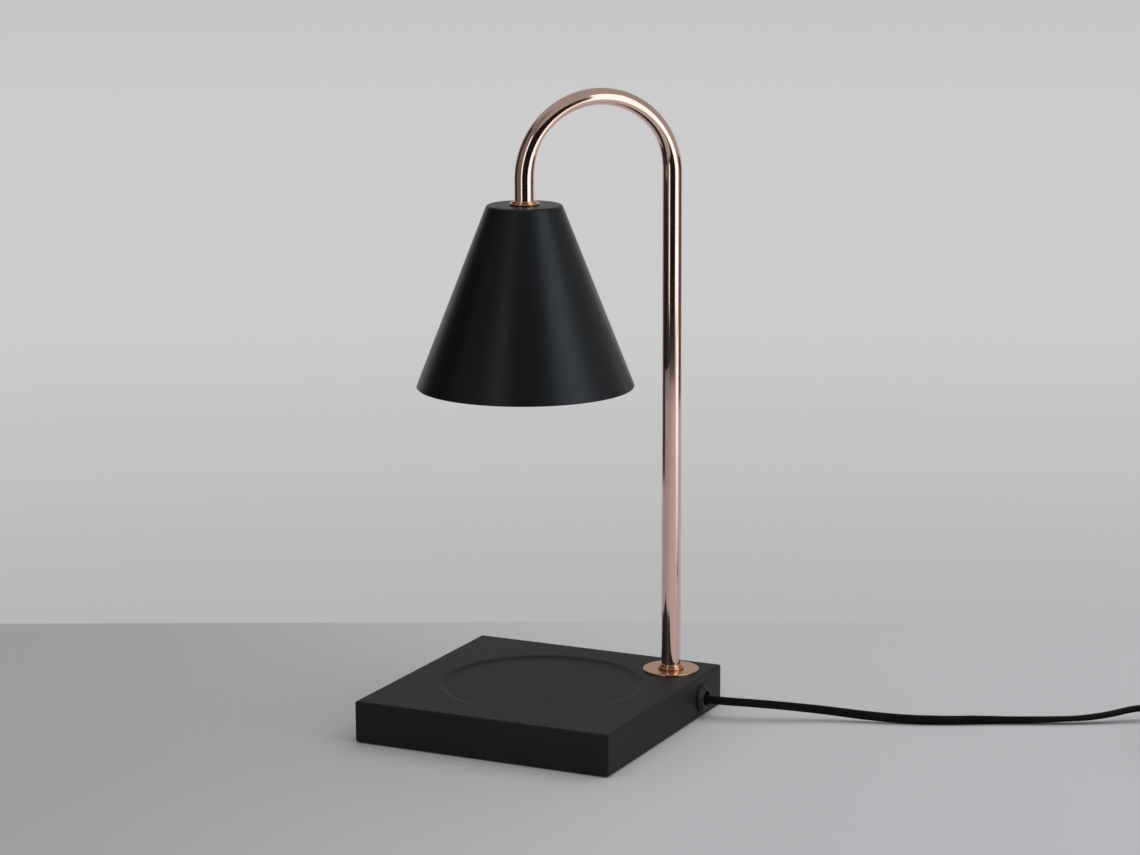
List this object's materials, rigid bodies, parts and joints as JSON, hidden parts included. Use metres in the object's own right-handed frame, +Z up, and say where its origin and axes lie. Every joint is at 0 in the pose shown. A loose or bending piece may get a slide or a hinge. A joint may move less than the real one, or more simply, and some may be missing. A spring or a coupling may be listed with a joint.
{
  "type": "candle warmer lamp",
  "caption": "Candle warmer lamp: square base with a round candle seat, gooseneck stem and conical shade over the candle, twist-lock bulb, and a thumbwheel dimmer on its flat lead.",
  "frame": {"origin": "centre of the square base on the surface it stands on", "axes": "+Z up along the stem; the base's front edge faces -Y, its right edge faces +X, and the stem stands in the +X +Y corner"},
  "size_m": [0.5468, 0.2503, 0.3474],
  "materials": {
    "black_powder_coat": "satin powder coat",
    "zinc_steel": "zinc plated",
    "screw_steel": "zinc plated",
    "grey_iron": "rough cast",
    "black_rubber": "matte",
    "rose_gold": "polished rose-gold plating on steel",
    "black_plastic": "matte",
    "flex_pvc": "soft black PVC",
    "plug_plastic": "fine matte",
    "block_nylon": "matte",
    "circuit_board": "green laminate",
    "wire_insulation": "silicone sleeve",
    "white_ceramic": "glazed ceramic",
    "contact_brass": "plain",
    "pin_metal": "nickel plated",
    "reflector_glass": "aluminised glass",
    "lamp_glass": "clear"
  },
  "bodies": {
    "lamp": {"anchor_bar": "black_plastic", "anchor_base": "black_plastic", "anchor_screws": "screw_steel", "base_plate": "zinc_steel", "base_posts": "zinc_steel", "base_screws": "screw_steel", "base_shell": "black_powder_coat", "bracket_screws": "screw_steel", "bushing_nut": "black_plastic", "coil_tie": "black_plastic", "cord_bushing": "black_plastic", "core_wires": "wire_insulation", "counterweight": "grey_iron", "dimmer_board": "circuit_board", "dimmer_boot_lamp_side": "flex_pvc", "dimmer_boot_plug_side": "flex_pvc", "dimmer_components": "block_nylon", "dimmer_leads": "flex_pvc", "dimmer_lower": "plug_plastic", "dimmer_potentiometer": "block_nylon", "dimmer_screws": "screw_steel", "dimmer_upper": "plug_plastic", "flex_coil": "flex_pvc", "flex_coil_to_plug": "flex_pvc", "flex_dimmer_to_coil": "flex_pvc", "flex_in_base": "flex_pvc", "flex_lamp_to_dimmer": "flex_pvc", "foot_pads": "black_rubber", "holder_body": "white_ceramic", "holder_bracket": "zinc_steel", "holder_contacts": "contact_brass", "holder_face": "white_ceramic", "plug_blades": "contact_brass", "plug_body": "plug_plastic", "plug_boot": "flex_pvc", "shade": "black_powder_coat", "shade_collar": "rose_gold", "shade_nut": "zinc_steel", "shade_washer": "zinc_steel", "stem_bush_lower": "black_plastic", "stem_bush_upper": "black_plastic", "stem_collar": "rose_gold", "stem_flange": "rose_gold", "stem_nut": "zinc_steel", "stem_tube": "rose_gold", "stem_washer": "zinc_steel", "stem_wires": "wire_insulation", "terminal_block": "block_nylon", "weight_screws": "screw_steel"},
    "bulb": {"bulb_cap": "white_ceramic", "bulb_pins": "pin_metal", "bulb_reflector": "reflector_glass", "bulb_lens": "lamp_glass", "bulb_capsule": "lamp_glass"},
    "thumbwheel": {"dimmer_wheel": "plug_plastic", "dimmer_shaft": "block_nylon"}
  },
  "joints": [
    {"name": "bulb_twist", "type": "hinge", "parent": "lamp", "child": "bulb", "pos_m": [-0.00574, -0.00574, 0.2529], "axis": [0, 0, -1], "range_deg": [0, 40]},
    {"name": "dimmer_wheel_turn", "type": "hinge", "parent": "lamp", "child": "thumbwheel", "pos_m": [0.35998, 0.16249, 0.01], "axis": [0, 0, 1], "range_deg": [0, 270]}
  ]
}
